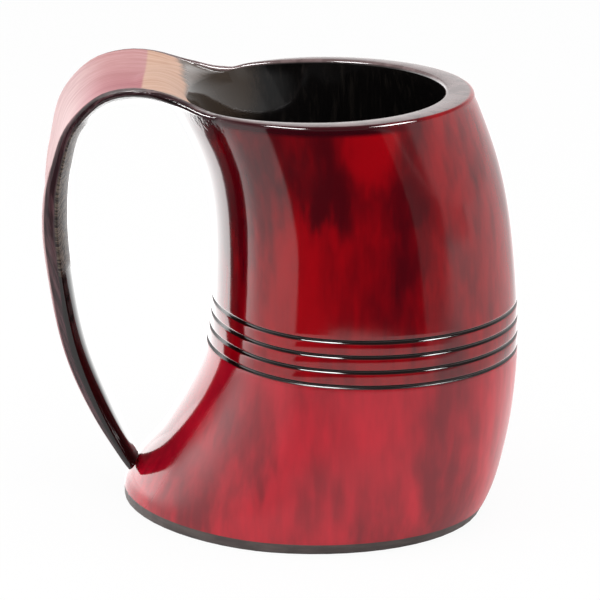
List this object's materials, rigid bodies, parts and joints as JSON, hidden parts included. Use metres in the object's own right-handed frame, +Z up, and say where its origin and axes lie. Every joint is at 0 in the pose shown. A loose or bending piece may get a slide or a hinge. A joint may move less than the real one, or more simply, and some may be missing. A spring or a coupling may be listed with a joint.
{
  "type": "horn drinking cup",
  "caption": "Drinking mug carved from one piece of horn, with a bent horn handle, engraved grooves and a glued base disc.",
  "frame": {"origin": "on the underside of the base disc, below the middle of the foot, where the cup stands on the table", "axes": "+Z up; the handle points to -X; +Y from the front of the cup, as pictured, to its back"},
  "size_m": [0.1613, 0.1038, 0.1527],
  "materials": {
    "dyed_horn": "polished and lacquered horn, dyed red outside and left black inside",
    "base": "dark, satin, sanded flush",
    "resin": "clear amber, glossy"
  },
  "bodies": {
    "root": {"horn_wall_and_handle": "dyed_horn", "base_disc": "base", "seal_bead": "resin"}
  },
  "joints": []
}
